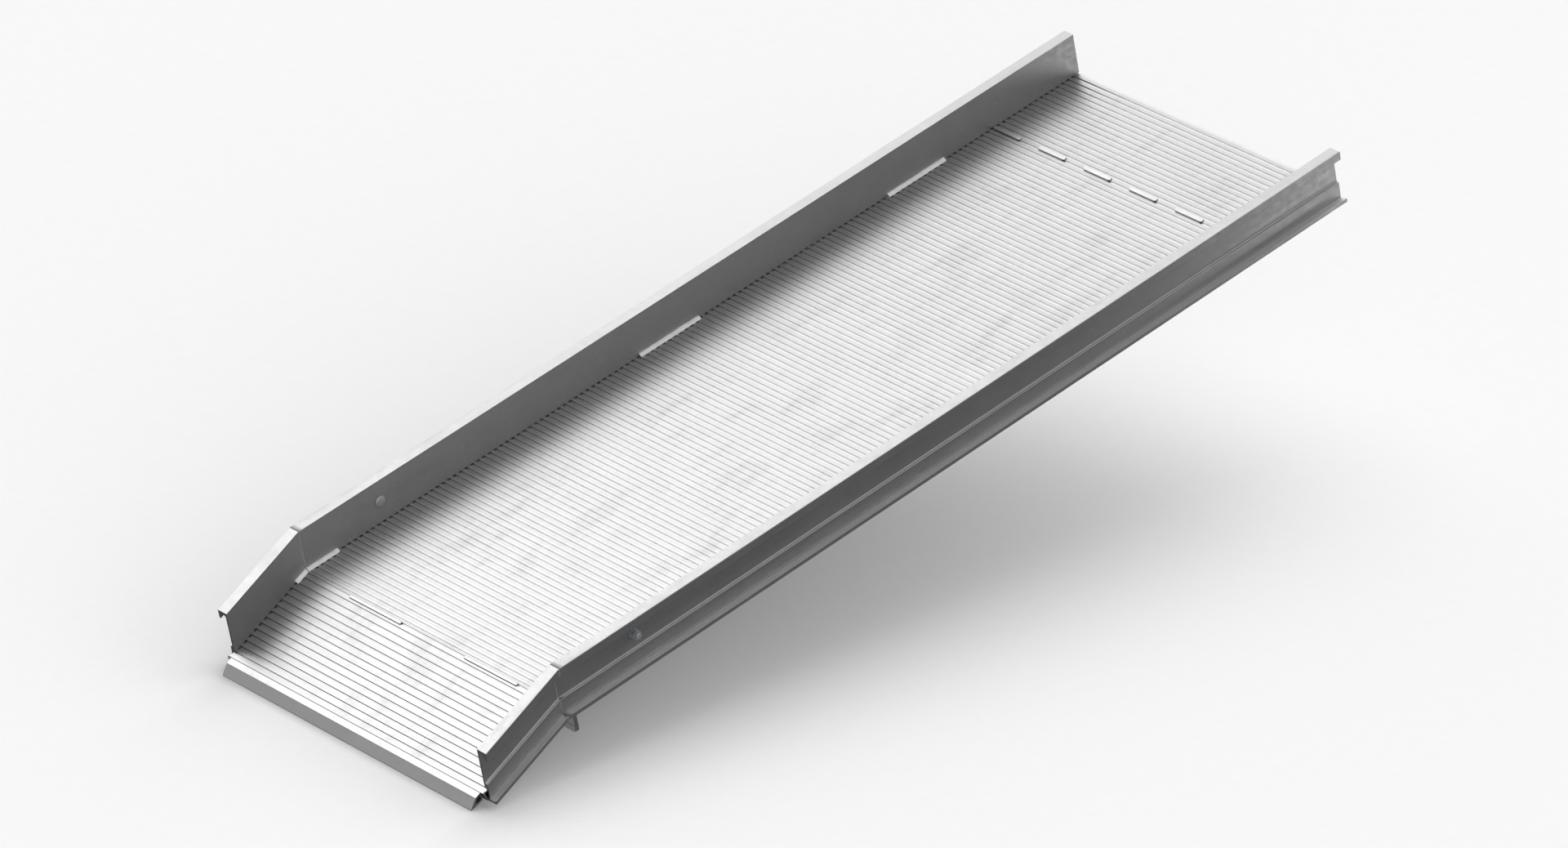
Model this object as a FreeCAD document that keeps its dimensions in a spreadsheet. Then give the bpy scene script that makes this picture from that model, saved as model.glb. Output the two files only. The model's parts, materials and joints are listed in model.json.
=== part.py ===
"""Folding aluminium loading ramp: a long ribbed deck between two side rails and a short
flap that carries on past a bend and folds under the deck on four pinned hinges.

Millimetres.  +X runs up the ramp, +Y across it to the far rail, +Z up.  The origin is the
middle of the flap's front edge, where it touches the ground.  The main section is drawn
flat with its bend line at the local origin and its rib tops at local Z = 0, then tilted
into place.  The flap is drawn the same way in a frame of its own, tilted further.
"""
import FreeCAD, Part
import math
import os
import Sketcher
from FreeCAD import Placement, Rotation, Vector

SIZES = {
    # whole ramp
    "clear_width": 768.0,
    "main_length": 2184.4,
    "main_slope": 11.84,
    "fold_angle": 20.5,
    "seam_gap": 0.25,
    "piece_gap": 0.05,
    # deck planks, drawn as ribbed hollow extrusions laid across the ramp
    "rib_pitch": 15.9,
    "rib_width": 8.0,
    "rib_height": 2.2,
    "plank_ribs": 8,
    "plank_count": 17,
    "plank_depth": 24.0,
    "plank_top_skin": 3.0,
    "plank_bottom_skin": 2.5,
    "plank_wall": 3.0,
    "plank_bearing": 5.8,
    # strip that closes the deck at the bend
    "edge_lip": 3.5,
    # side rail section, measured outward from the inner web face
    "rail_height": 95.0,
    "flange_width": 28.0,
    "flange_depth": 7.0,
    "flange_root": 12.0,
    "lip_depth": 20.0,
    "lip_thickness": 4.0,
    "lip_draft": 0.8,
    "web": 5.0,
    "web_clearance": 0.3,
    "shoulder_height": 13.0,
    "shoulder_width": 11.0,
    "socket_depth": 6.0,
    "foot_neck": 9.5,
    "foot_neck_height": 7.0,
    "foot_width": 29.0,
    "foot_thickness": 5.0,
    "foot_lip_width": 3.5,
    "foot_lip_height": 4.0,
    "root_fillet": 3.5,
    "edge_fillet": 1.5,
    "roll_length": 12.0,
    "roll_drop": 1.2,
    "cut_margin": 1.0,
    # flap
    "flap_rail_reach": 209.5,
    "flap_rib_start": 14.75,
    "flap_lip": 2.5,
    "flap_seam": 237.0,
    "toe_gap": 0.6,
    "toe_edge": 251.0,
    "toe_reach": 274.0,
    "toe_nose_drop": 13.0,
    "toe_drop": 15.0,
    "toe_heel_drop": 18.8,
    "toe_heel_back": 6.0,
    "toe_heel_chamfer": 4.3,
    "toe_nose_back": 1.2,
    "toe_overhang": 1.5,
    "toe_cavity_run": 22.0,
    "toe_cavity_roof_run": 12.1,
    "toe_cavity_heel": 1.0,
    "toe_wall": 4.0,
    "toe_floor": 3.0,
    "toe_heel_floor": 3.5,
    "toe_back_floor": 1.5,
    # bar that hooks behind a sill
    "hook_start": 30.6,
    "hook_thickness": 9.4,
    "hook_bottom": 91.0,
    "hook_band_top": 76.0,
    "hook_band": 0.8,
    "hook_side_gap": 1.0,
    "hook_corner": 4.0,
    "hook_weld": 5.0,
    "hook_weld_inset": 20.0,
    # fold hinges
    "hinge_drop": 62.0,
    "hinge_spread": 628.0,
    "hinge_count": 4,
    "eye_radius": 11.0,
    "pin_radius": 6.0,
    "pin_clearance": 0.05,
    "ear_thickness": 8.0,
    "flap_ear_thickness": 12.0,
    "ear_gap": 0.5,
    "ear_top_start": 2.0,
    "ear_shoulder": 7.7,
    "flap_ear_heel_back": 8.8,
    "flap_ear_heel_drop": 6.6,
    "flap_ear_toe_front": 10.45,
    "flap_ear_toe_drop": 3.3,
    "flap_ear_edge": 6.0,
    "flap_ear_back": 25.0,
    "flap_ear_front": 9.0,
    "pin_head_radius": 9.0,
    "pin_head": 4.0,
    "pin_tail": 7.0,
    "pin_washer_radius": 10.5,
    "pin_washer": 2.0,
    "bore_margin": 0.2,
    "split_hole": 1.9,
    "split_hole_gap": 0.3,
    "split_wire": 0.7,
    "split_leg_offset": 1.0,
    "split_loop": 3.0,
    "split_leg": 9.5,
    "split_straight": 2.5,
    "split_bend": 4.0,
    "split_bend_drop": 2.0,
    "split_bend_start": 1.0,
    # cross-member under the far end of the deck
    "member_station": 1930.0,
    "member_width": 50.0,
    "member_depth": 20.0,
    "member_wall": 3.0,
    "member_side_gap": 2.0,
    "member_weld": 4.0,
    "member_weld_inset": 40.0,
    # anchor bolts through the rails
    "bolt_station": 209.0,
    "bolt_height": 46.5,
    "bolt_radius": 6.0,
    "bolt_head_radius": 13.5,
    "bolt_head_rim": 1.6,
    "bolt_head_height": 6.6,
    "bolt_neck": 12.0,
    "bolt_neck_gap": 0.2,
    "bolt_tip": 1.0,
    "bolt_washer_gap": 0.2,
    "bolt_washer_radius": 12.0,
    "bolt_washer": 2.5,
    "nut_flats": 19.0,
    "nut_height": 9.0,
    "nut_collar": 3.0,
    "nut_collar_radius": 8.4,
    "bolt_end": 3.0,
    "thread_gap": 0.05,
    # weld beads
    "bead_height": 2.4,
    "bead_width": 12.0,
    "bead_length": 82.0,
    "bead_count": 6,
    "bead_outer": 342.0,
    "bead_round": 1.6,
    "bead_end_margin": 0.1,
    "bead_shift": 2.0,
    "fold_bead_width": 7.0,
    "fold_bead_length": 160.0,
    "fold_bead_start": 2.3,
    "fold_bead_far": 163.0,
    "fold_bead_near": 190.0,
    "side_bead_width": 8.0,
    "side_bead_height": 6.0,
    "side_bead_belly": 2.2,
    "side_bead_crown": 0.7,
    "side_bead_toe": 1.6,
    "side_bead_root": 0.5,
    "side_bead_a": 0.5,
    "side_bead_a_length": 83.5,
    "side_bead_b": 912.0,
    "side_bead_b_length": 168.0,
    "side_bead_c": 1620.0,
    "side_bead_c_length": 165.0,
    "flap_bead_length": 33.0,
    "toe_weld_half": 370.0,
    "toe_weld_heel": 0.4,
    "toe_weld_throat": 0.6,
    "toe_weld_back": 0.2,
    "toe_weld_low": 0.1,
    "toe_weld_belly": 0.3,
}

DOC = FreeCAD.newDocument("loading_ramp")
SHEET = DOC.addObject("Spreadsheet::Sheet", "sizes")


def fill_sheet():
    """Write every driving dimension as a plain number with its own alias."""
    for row, (alias, value) in enumerate(SIZES.items(), start=1):
        SHEET.set(f"A{row}", alias.replace("_", " "))
        SHEET.set(f"B{row}", str(value))
        SHEET.setAlias(f"B{row}", alias)
    DOC.recompute()


def size(alias):
    """A dimension read back from the sheet."""
    return float(SHEET.get(alias))


def bound(text):
    """Turn names such as $web into references to the sheet."""
    return text.replace("$", "sizes.")


# ---------------------------------------------------------------- frames


def main_placement():
    """Tilt of the main section, with the front edge of the flap on the ground at the origin."""
    slope = math.radians(size("main_slope") + size("fold_angle"))
    reach = size("toe_reach")
    drop = size("toe_drop")
    bend_x = reach * math.cos(slope) - drop * math.sin(slope)
    bend_z = reach * math.sin(slope) + drop * math.cos(slope)
    turn = Rotation(Vector(0, -1, 0), size("main_slope"))
    return Placement(Vector(bend_x, 0, bend_z), turn)


def flap_placement():
    """Same bend point, tilted further by the fold angle."""
    turn = Rotation(Vector(0, -1, 0), size("main_slope") + size("fold_angle"))
    return Placement(main_placement().Base, turn)


# ---------------------------------------------------------------- sketch helpers


def new_body(name):
    body = DOC.addObject("PartDesign::Body", name)
    body.Label = name
    return body


def origin_part(body, role):
    for feature in body.Origin.OriginFeatures:
        if feature.Role == role:
            return feature
    raise ValueError(role)


def new_sketch(body, plane, name, offset="0", across="0", up="0"):
    """A sketch on an origin plane, moved along its normal by offset, and by across and up."""
    sketch = body.newObject("Sketcher::SketchObject", f"{body.Name}_{name}")
    sketch.AttachmentSupport = [(origin_part(body, plane), "")]
    sketch.MapMode = "FlatFace"
    sketch.setExpression("AttachmentOffset.Base.z", bound(offset))
    sketch.setExpression("AttachmentOffset.Base.x", bound(across))
    sketch.setExpression("AttachmentOffset.Base.y", bound(up))
    return sketch


def add_loop(sketch, points):
    """A closed polygon whose corners are pinned to formulas of the sheet's values."""
    first = sketch.GeometryCount
    total = len(points)
    ring = []
    for index in range(total):
        angle = 2 * math.pi * index / total
        ring.append(Vector(50 * math.cos(angle), 50 * math.sin(angle), 0))
    for index in range(total):
        line = Part.LineSegment(ring[index], ring[(index + 1) % total])
        sketch.addGeometry(line, False)
    for index in range(total):
        here = first + index
        after = first + (index + 1) % total
        sketch.addConstraint(Sketcher.Constraint("Coincident", here, 2, after, 1))
    for index, (across, up) in enumerate(points):
        start = ring[index]
        pin_point(sketch, first + index, 1, start, across, up)


def pin_point(sketch, geometry, position, start, across, up):
    """Fix one point of the sketch at a pair of formulas."""
    flat = Sketcher.Constraint("DistanceX", -1, 1, geometry, position, start.x)
    flat_index = sketch.addConstraint(flat)
    tall = Sketcher.Constraint("DistanceY", -1, 1, geometry, position, start.y)
    tall_index = sketch.addConstraint(tall)
    sketch.setExpression(f"Constraints[{flat_index}]", bound(across))
    sketch.setExpression(f"Constraints[{tall_index}]", bound(up))


def add_circle(sketch, across, up, radius):
    """A circle whose centre and radius are formulas of the sheet's values."""
    centre = Vector(5, 5, 0)
    index = sketch.addGeometry(Part.Circle(centre, Vector(0, 0, 1), 5), False)
    pin_point(sketch, index, 3, centre, across, up)
    ring = sketch.addConstraint(Sketcher.Constraint("Radius", index, 5))
    sketch.setExpression(f"Constraints[{ring}]", bound(radius))


def pad(body, sketch, length, flipped=False):
    """Extrude a sketch along its normal, or against it."""
    feature = body.newObject("PartDesign::Pad", f"{sketch.Name}_pad")
    feature.Profile = sketch
    feature.setExpression("Length", bound(length))
    feature.Reversed = flipped
    sketch.Visibility = False
    return feature


def pocket(body, sketch, length):
    """Cut a sketch into the body, checking that it really removed something."""
    DOC.recompute()
    before = body.Shape.Volume
    feature = body.newObject("PartDesign::Pocket", f"{sketch.Name}_cut")
    feature.Profile = sketch
    feature.setExpression("Length", bound(length))
    DOC.recompute()
    if body.Shape.Volume > before - 1e-6:
        raise ValueError(f"{feature.Name} cut nothing")
    return feature


def cut_across(body, name, low, high, outline=None, circle=None):
    """Cut an outline or a circle in X and Z between two formulas of Y."""
    sketch = new_sketch(body, "XZ_Plane", name, offset=f"-({low})")
    if outline:
        add_loop(sketch, outline)
    if circle:
        add_circle(sketch, *circle)
    return pocket(body, sketch, f"({high}) - ({low})")


def slab(body, name, points, low, high, holes=()):
    """A plate with its outline in X and Z, standing between two formulas of Y."""
    sketch = new_sketch(body, "XZ_Plane", name, offset=f"-({high})")
    add_loop(sketch, points)
    for across, up, radius in holes:
        add_circle(sketch, across, up, radius)
    return pad(body, sketch, f"({high}) - ({low})")


def round_edges(body, name, edges, radius):
    """Fillet the named edges of the body's newest solid."""
    base = body.Tip
    feature = body.newObject("PartDesign::Fillet", f"{body.Name}_{name}")
    feature.Base = (base, edges)
    feature.setExpression("Radius", bound(radius))
    body.Tip = feature
    return feature


def edges_where(shape, wanted):
    """Names of the edges whose curve passes a test of its two end points."""
    found = []
    for number, edge in enumerate(shape.Edges, start=1):
        start = edge.valueAt(edge.FirstParameter)
        end = edge.valueAt(edge.LastParameter)
        if wanted(start, end):
            found.append(f"Edge{number}")
    return found


def near(first, second):
    return abs(first - second) < 0.01


def repeat(body, features, axis, length, count, name="row"):
    """Repeat features in a straight row."""
    feature = body.newObject("PartDesign::LinearPattern", f"{body.Name}_{name}")
    feature.Originals = features
    feature.Direction = (origin_part(body, axis), [""])
    feature.setExpression("Length", bound(length))
    feature.setExpression("Occurrences", bound(count))
    body.Tip = feature
    return feature


def mirror(body, features):
    """Copy features to the other side of the ramp's middle plane."""
    feature = body.newObject("PartDesign::Mirrored", f"{body.Name}_mirror")
    feature.Originals = features
    feature.MirrorPlane = (origin_part(body, "XZ_Plane"), [""])
    body.Tip = feature
    return feature


# ---------------------------------------------------------------- rails


def rail_section(side):
    """Corners of the rail's section; side is 1 for the far rail and -1 for the near rail."""
    outline = [
        ("0", "$rail_height"),
        ("$flange_width", "$rail_height"),
        ("$flange_width - $lip_draft", "$rail_height - $lip_depth"),
        ("$flange_width - $lip_draft - $lip_thickness", "$rail_height - $lip_depth"),
        ("$flange_root", "$rail_height - $flange_depth"),
        ("$web", "$rail_height - $flange_depth"),
        ("$web", "$shoulder_height"),
        ("$shoulder_width", "$shoulder_height"),
        ("$shoulder_width", "-$plank_depth + $foot_neck_height"),
        ("$foot_neck", "-$plank_depth"),
        ("$foot_width - $foot_lip_width", "-$plank_depth"),
        ("$foot_width - $foot_lip_width", "-$plank_depth + $foot_lip_height"),
        ("$foot_width", "-$plank_depth + $foot_lip_height"),
        ("$foot_width", "-$plank_depth - $foot_thickness"),
        ("0", "-$plank_depth - $foot_thickness"),
        ("0", "-$plank_depth"),
        ("$socket_depth", "-$plank_depth"),
        ("$socket_depth", "$web_clearance"),
        ("0", "$web_clearance"),
    ]
    return [(f"{side} * ($clear_width / 2 + {out})", up) for out, up in outline]


def soften_rail(body, fall=0.0):
    """Round the section's long edges: large at the web's root, small on the outer corners.

    fall is how far the section sits below its drawn height at the end next to the bend.
    """
    half = size("clear_width") / 2
    top = size("rail_height")
    bottom = -size("plank_depth") - size("foot_thickness")
    lip_bottom = top - size("lip_depth")
    lip_outer = size("flange_width") - size("lip_draft")
    seam_side = body.Shape.BoundBox.XMax

    def on_line(out, up):
        def wanted(start, end):
            at_seam = max(start.x, end.x) > seam_side - 1
            long_edge = abs(start.x - end.x) > 100
            if not (at_seam and long_edge):
                return False
            point = start if start.x > end.x else end
            return near(abs(point.y) - half, out) and near(point.z, up - fall)
        return wanted

    roots = [(size("web"), top - size("flange_depth")), (size("web"), size("shoulder_height"))]
    corners = [
        (size("flange_width"), top),
        (lip_outer, lip_bottom),
        (lip_outer - size("lip_thickness"), lip_bottom),
        (size("shoulder_width"), size("shoulder_height")),
        (size("foot_width"), bottom),
    ]
    shape = body.Shape
    root_edges = [name for spot in roots for name in edges_where(shape, on_line(*spot))]
    round_edges(body, "roots", root_edges, "$root_fillet")
    DOC.recompute()
    shape = body.Shape
    corner_edges = [name for spot in corners for name in edges_where(shape, on_line(*spot))]
    round_edges(body, "corners", corner_edges, "$edge_fillet")
    DOC.recompute()


# shares of the roll-off's length and drop, from the bend to where the flange is level
ROLL_CURVE = ((0.0, 1.0), (0.33, 0.45), (0.66, 0.12), (1.0, 0.0))


def main_rail(name, side):
    """Long rail with a square hole for its anchor bolt and a rolled-off end at the bend."""
    body = new_body(name)
    sketch = new_sketch(body, "YZ_Plane", "section", offset="$seam_gap")
    add_loop(sketch, rail_section(side))
    pad(body, sketch, "$main_length - $seam_gap")
    DOC.recompute()
    soften_rail(body)
    inner = f"{side} * ($clear_width / 2 - $cut_margin)"
    outer = f"{side} * ($clear_width / 2 + $foot_width + $cut_margin)"
    web_outer = f"{side} * ($clear_width / 2 + $web + $cut_margin)"
    roll = [("$roll_length", "$rail_height + $cut_margin"), ("0", "$rail_height + $cut_margin")]
    for run, drop in ROLL_CURVE:
        roll.append((f"$roll_length * {run}", f"$rail_height - $roll_drop * {drop}"))
    low, high = (inner, outer) if side > 0 else (outer, inner)
    cut_across(body, "roll", low, high, outline=roll)
    low, high = (inner, web_outer) if side > 0 else (web_outer, inner)
    half_hole = "($bolt_neck + $bolt_neck_gap) / 2"
    cut_across(body, "hole", low, high, outline=[
        (f"$bolt_station - {half_hole}", f"$bolt_height - {half_hole}"),
        (f"$bolt_station + {half_hole}", f"$bolt_height - {half_hole}"),
        (f"$bolt_station + {half_hole}", f"$bolt_height + {half_hole}"),
        (f"$bolt_station - {half_hole}", f"$bolt_height + {half_hole}"),
    ])
    body.Placement = main_placement()
    return body


def flap_rail(name, side):
    """Short rail: the same section at the bend, drawn out along the flap's own slope."""
    body = new_body(name)
    fold = math.radians(size("fold_angle"))
    lowered = "-$seam_gap * tan($fold_angle)"
    sketch = new_sketch(body, "YZ_Plane", "section", offset="-$seam_gap", up=lowered)
    add_loop(sketch, rail_section(side))
    feature = pad(body, sketch, "$flap_rail_reach - $seam_gap")
    feature.UseCustomVector = True
    feature.Direction = Vector(-math.cos(fold), 0, -math.sin(fold))
    feature.AlongSketchNormal = True
    DOC.recompute()
    soften_rail(body, fall=size("seam_gap") * math.tan(fold))
    body.Placement = main_placement()
    return body


# ---------------------------------------------------------------- deck


def deck_loop(start, end, ribs, depth, end_below):
    """Outline of a ribbed strip in X and Z; ribs is a list of (start, end) formulas."""
    floor = "-$rib_height"
    points = [(start, f"-({depth})"), (end_below, f"-({depth})")]
    top = []
    for low, high in ribs:
        if low != start:
            top.append((low, floor))
        top.append((low, "0"))
        top.append((high, "0"))
        if high != end:
            top.append((high, floor))
    if ribs[0][0] != start:
        top.insert(0, (start, floor))
    if ribs[-1][1] != end:
        top.append((end, floor))
    return points + top[::-1]


def chamber_loops(start, end, count, depth):
    """Hollow chambers inside a strip, separated by walls of one thickness."""
    inner = f"(({end}) - ({start}) - ({count} + 1) * $plank_wall) / {count}"
    roof = "-$rib_height - $plank_top_skin"
    floor = f"-({depth}) + $plank_bottom_skin"
    loops = []
    for index in range(count):
        low = f"({start}) + $plank_wall + {index} * ({inner} + $plank_wall)"
        high = f"{low} + {inner}"
        loops.append([(low, floor), (high, floor), (high, roof), (low, roof)])
    return loops


def ribbed_strip(name, start, end, ribs, chambers, depth, placement, end_below=None):
    """A strip of deck between two formulas of X, reaching into both rails.

    end_below is where the strip ends at its underside, if its end is cut on a slant.
    """
    end_below = end_below or end
    body = new_body(name)
    half = "($clear_width / 2 + $plank_bearing)"
    sketch = new_sketch(body, "XZ_Plane", "profile", offset=f"-{half}")
    add_loop(sketch, deck_loop(start, end, ribs, depth, end_below))
    for loop in chamber_loops(start, end_below, chambers, depth):
        add_loop(sketch, loop)
    pad(body, sketch, f"2 * {half}")
    body.Placement = placement
    return body


def deck_plank(number):
    """One plank of the main deck, counted from the bend."""
    lowest = "$main_length - $plank_count * $plank_ribs * $rib_pitch"
    start = f"{lowest} + {number - 1} * $plank_ribs * $rib_pitch"
    end = f"{lowest} + {number} * $plank_ribs * $rib_pitch - $piece_gap"
    ribs = []
    for index in range(int(size("plank_ribs"))):
        low = start if index == 0 else f"{start} + {index} * $rib_pitch"
        ribs.append((low, f"{start} + {index} * $rib_pitch + $rib_width"))
    name = f"deck_plank_{number:02d}"
    return ribbed_strip(name, start, end, ribs, 3, "$plank_depth", main_placement())


def fold_edge():
    """Narrow strip that closes the main deck at the bend."""
    end = "$main_length - $plank_count * $plank_ribs * $rib_pitch"
    ribs = [
        ("$seam_gap", "$edge_lip"),
        (f"{end} - $rib_pitch", f"{end} - $rib_pitch + $rib_width"),
    ]
    last = f"{end} - $piece_gap"
    return ribbed_strip(
        "fold_edge_main", "$seam_gap", last, ribs, 1, "$plank_depth", main_placement())


def flap_depth():
    """Planks of the flap are thinner, because the rail sockets narrow with the fold angle."""
    return "$plank_depth * cos($fold_angle)"


def flap_rib(number):
    """Formulas of the two edges of a rib of the flap, counted from 0 at the bend."""
    low = f"-$flap_rib_start - {number} * $rib_pitch"
    return low, f"{low} + $rib_width"


def flap_plank_upper():
    """Plank next to the bend: eight ribs, a narrow lip, and an end cut along the upright seam."""
    end = "-$seam_gap / cos($fold_angle)"
    end_below = f"{end} - ({flap_depth()}) * tan($fold_angle)"
    ribs = [flap_rib(number) for number in reversed(range(int(size("plank_ribs"))))]
    start = ribs[0][0]
    ribs.append(("-$flap_lip", end))
    return ribbed_strip("flap_plank_upper", start, end, ribs, 3, flap_depth(),
                        flap_placement(), end_below)


def flap_plank_lower():
    """Plank between the upper plank and the toe; its lowest rib is trimmed at the toe's seam."""
    first = int(size("plank_ribs"))
    last = int((size("flap_seam") - size("flap_rib_start")) / size("rib_pitch"))
    end = f"-$flap_rib_start - {first - 1} * $rib_pitch - $piece_gap"
    start = "-$flap_seam + $toe_gap"
    ribs = [flap_rib(number) for number in range(last, first - 1, -1)]
    ribs.insert(0, (start, f"-$flap_rib_start - {last + 1} * $rib_pitch + $rib_width"))
    return ribbed_strip("flap_plank_lower", start, end, ribs, 2, flap_depth(), flap_placement())


def toe_plate():
    """Bevelled front extrusion: flat top, steep front face and a blunt nose on the ground."""
    body = new_body("toe_plate")
    half = "($clear_width / 2 - $toe_overhang)"
    sketch = new_sketch(body, "XZ_Plane", "profile", offset=f"-{half}")
    add_loop(sketch, [
        ("-$flap_seam", "0"),
        ("-$toe_edge", "0"),
        ("-$toe_reach + $toe_nose_back", "-$toe_nose_drop"),
        ("-$toe_reach", "-$toe_drop"),
        ("-$flap_seam - $toe_heel_back", "-$toe_heel_drop"),
        ("-$flap_seam", "-$toe_heel_drop + $toe_heel_chamfer"),
    ])
    add_loop(sketch, [
        ("-$flap_seam - $toe_wall", "-$toe_wall"),
        ("-$flap_seam - $toe_wall", "-$toe_heel_drop + $toe_heel_chamfer + $toe_back_floor"),
        ("-$flap_seam - $toe_heel_back - $toe_cavity_heel", "-$toe_heel_drop + $toe_heel_floor"),
        ("-$flap_seam - $toe_cavity_run", "-$toe_drop + $toe_floor"),
        ("-$flap_seam - $toe_cavity_roof_run", "-$toe_wall"),
    ])
    pad(body, sketch, f"2 * {half}")
    body.Placement = flap_placement()
    return body


def end_crossmember():
    """Flat tube under the deck where the row of slot welds crosses it."""
    body = new_body("end_crossmember")
    half = "($clear_width / 2 - $member_side_gap)"
    low = "$member_station - $member_width / 2"
    high = "$member_station + $member_width / 2"
    roof = "-$plank_depth"
    floor = "-$plank_depth - $member_depth"
    wall = "$member_wall"
    sketch = new_sketch(body, "XZ_Plane", "profile", offset=f"-{half}")
    add_loop(sketch, [(low, floor), (high, floor), (high, roof), (low, roof)])
    add_loop(sketch, [
        (f"{low} + {wall}", f"{floor} + {wall}"),
        (f"{high} - {wall}", f"{floor} + {wall}"),
        (f"{high} - {wall}", f"{roof} - {wall}"),
        (f"{low} + {wall}", f"{roof} - {wall}"),
    ])
    pad(body, sketch, f"2 * {half}")
    body.Placement = main_placement()
    return body


def hook_bar():
    """Bar across the ramp below the bend: a thicker bearing band along its bottom, round corners."""
    body = new_body("hook_bar")
    half = "($clear_width / 2 - $hook_side_gap)"
    slab(body, "plate", [
        ("$hook_start - $hook_band", "-$hook_bottom"),
        ("$hook_start + $hook_thickness", "-$hook_bottom"),
        ("$hook_start + $hook_thickness", "-$plank_depth"),
        ("$hook_start", "-$plank_depth"),
        ("$hook_start", "-$hook_band_top"),
        ("$hook_start - $hook_band", "-$hook_band_top"),
    ], f"-{half}", half)
    DOC.recompute()
    bottom = -size("hook_bottom")

    def short_bottom_edge(start, end):
        return near(start.z, bottom) and near(end.z, bottom) and near(start.y, end.y)

    round_edges(body, "corners", edges_where(body.Shape, short_bottom_edge), "$hook_corner")
    body.Placement = main_placement()
    return body


# ---------------------------------------------------------------- fold hinges


def eye_hole(body, name, across, up, low, high):
    """Bore for the pin through a boss that stands between two formulas of Y."""
    bore = (across, up, "$pin_radius + $pin_clearance")
    return cut_across(body, name, f"{low} - $bore_margin", f"{high} + $bore_margin", circle=bore)


def eye_boss(body, name, across, up, low, high):
    sketch = new_sketch(body, "XZ_Plane", name, offset=f"-({high})")
    add_circle(sketch, across, up, "$eye_radius")
    return pad(body, sketch, f"({high}) - ({low})")


def first_hinge():
    """Y of the hinge nearest the near rail, as a formula."""
    return "-$hinge_spread / 2"


def main_ears():
    """Pairs of plates welded to the deck and the hook bar, each pair holding one pin."""
    body = new_body("hinge_ears_main")
    features = []
    half_gap = "($flap_ear_thickness / 2 + $ear_gap)"
    for number, side in enumerate((-1, 1)):
        inner = f"{first_hinge()} + {side} * {half_gap}"
        outer = f"{first_hinge()} + {side} * ({half_gap} + $ear_thickness)"
        low, high = (outer, inner) if side < 0 else (inner, outer)
        outline = [
            ("-$ear_shoulder", "-$hinge_drop + $ear_shoulder"),
            ("0", "-$hinge_drop - $eye_radius"),
            ("$hook_start", "-$hinge_drop - $eye_radius"),
            ("$hook_start", "-$plank_depth"),
            ("$ear_top_start", "-$plank_depth"),
        ]
        features.append(slab(body, f"plate_{number}", outline, low, high))
        features.append(eye_boss(body, f"boss_{number}", "0", "-$hinge_drop", low, high))
        features.append(eye_hole(body, f"bore_{number}", "0", "-$hinge_drop", low, high))
    repeat(body, features, "Y_Axis", "$hinge_spread", "$hinge_count")
    body.Placement = main_placement()
    return body


def flap_ears():
    """Single plates under the flap, each between one pair of the main ears."""
    body = new_body("hinge_ears_flap")
    across = "-$hinge_drop * sin($fold_angle)"
    up = "-$hinge_drop * cos($fold_angle)"
    roof = f"-({flap_depth()})"
    low = f"{first_hinge()} - $flap_ear_thickness / 2"
    high = f"{first_hinge()} + $flap_ear_thickness / 2"
    features = [slab(body, "plate", [
        (f"{across} - $flap_ear_heel_back", f"{up} - $flap_ear_heel_drop"),
        (f"{across} + $flap_ear_toe_front", f"{up} - $flap_ear_toe_drop"),
        (f"{across} + $flap_ear_front", roof),
        (f"{across} - $flap_ear_back", roof),
        (f"{across} - $flap_ear_back", f"{roof} - $flap_ear_edge"),
    ], low, high)]
    features.append(eye_boss(body, "boss", across, up, low, high))
    features.append(eye_hole(body, "bore", across, up, low, high))
    repeat(body, features, "Y_Axis", "$hinge_spread", "$hinge_count")
    body.Placement = flap_placement()
    return body


def half_stack():
    """Half of the width of one hinge over its two main ears."""
    return "($flap_ear_thickness / 2 + $ear_gap + $ear_thickness)"


def hinge_pins():
    """Clevis pins: a flat head on one side and a drilled tail on the other."""
    body = new_body("hinge_pins")
    middle = first_hinge()
    head = f"{middle} - {half_stack()} - $pin_head"
    tail = f"{middle} + {half_stack()} + $pin_washer + $pin_tail"
    shank = new_sketch(body, "XZ_Plane", "shank", offset=f"-({tail})")
    add_circle(shank, "0", "-$hinge_drop", "$pin_radius")
    features = [pad(body, shank, f"({tail}) - ({head})")]
    collar = new_sketch(body, "XZ_Plane", "head", offset=f"-({head} + $pin_head)")
    add_circle(collar, "0", "-$hinge_drop", "$pin_head_radius")
    features.append(pad(body, collar, "$pin_head"))
    drill = new_sketch(body, "XY_Plane", "drill",
                       offset="-$hinge_drop + $pin_radius + $cut_margin")
    spot = f"{middle} + {half_stack()} + $pin_washer + $split_hole + $split_hole_gap"
    add_circle(drill, "0", spot, "$split_hole")
    features.append(pocket(body, drill, "2 * ($pin_radius + $cut_margin)"))
    repeat(body, features, "Y_Axis", "$hinge_spread", "$hinge_count")
    body.Placement = main_placement()
    return body


def pin_washers():
    """Washers between the outer ear and the split pin."""
    body = new_body("pin_washers")
    low = f"{first_hinge()} + {half_stack()}"
    sketch = new_sketch(body, "XZ_Plane", "ring", offset=f"-({low} + $pin_washer)")
    add_circle(sketch, "0", "-$hinge_drop", "$pin_washer_radius")
    add_circle(sketch, "0", "-$hinge_drop", "$pin_radius + $pin_clearance")
    ring = pad(body, sketch, "$pin_washer")
    repeat(body, [ring], "Y_Axis", "$hinge_spread", "$hinge_count")
    body.Placement = main_placement()
    return body


# shares of the loop's half width: how far out and how far above the hinge pin
SPLIT_LOOP_CURVE = ((0.72, 0.55), (1.0, 1.15), (0.7, 1.78))


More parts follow.
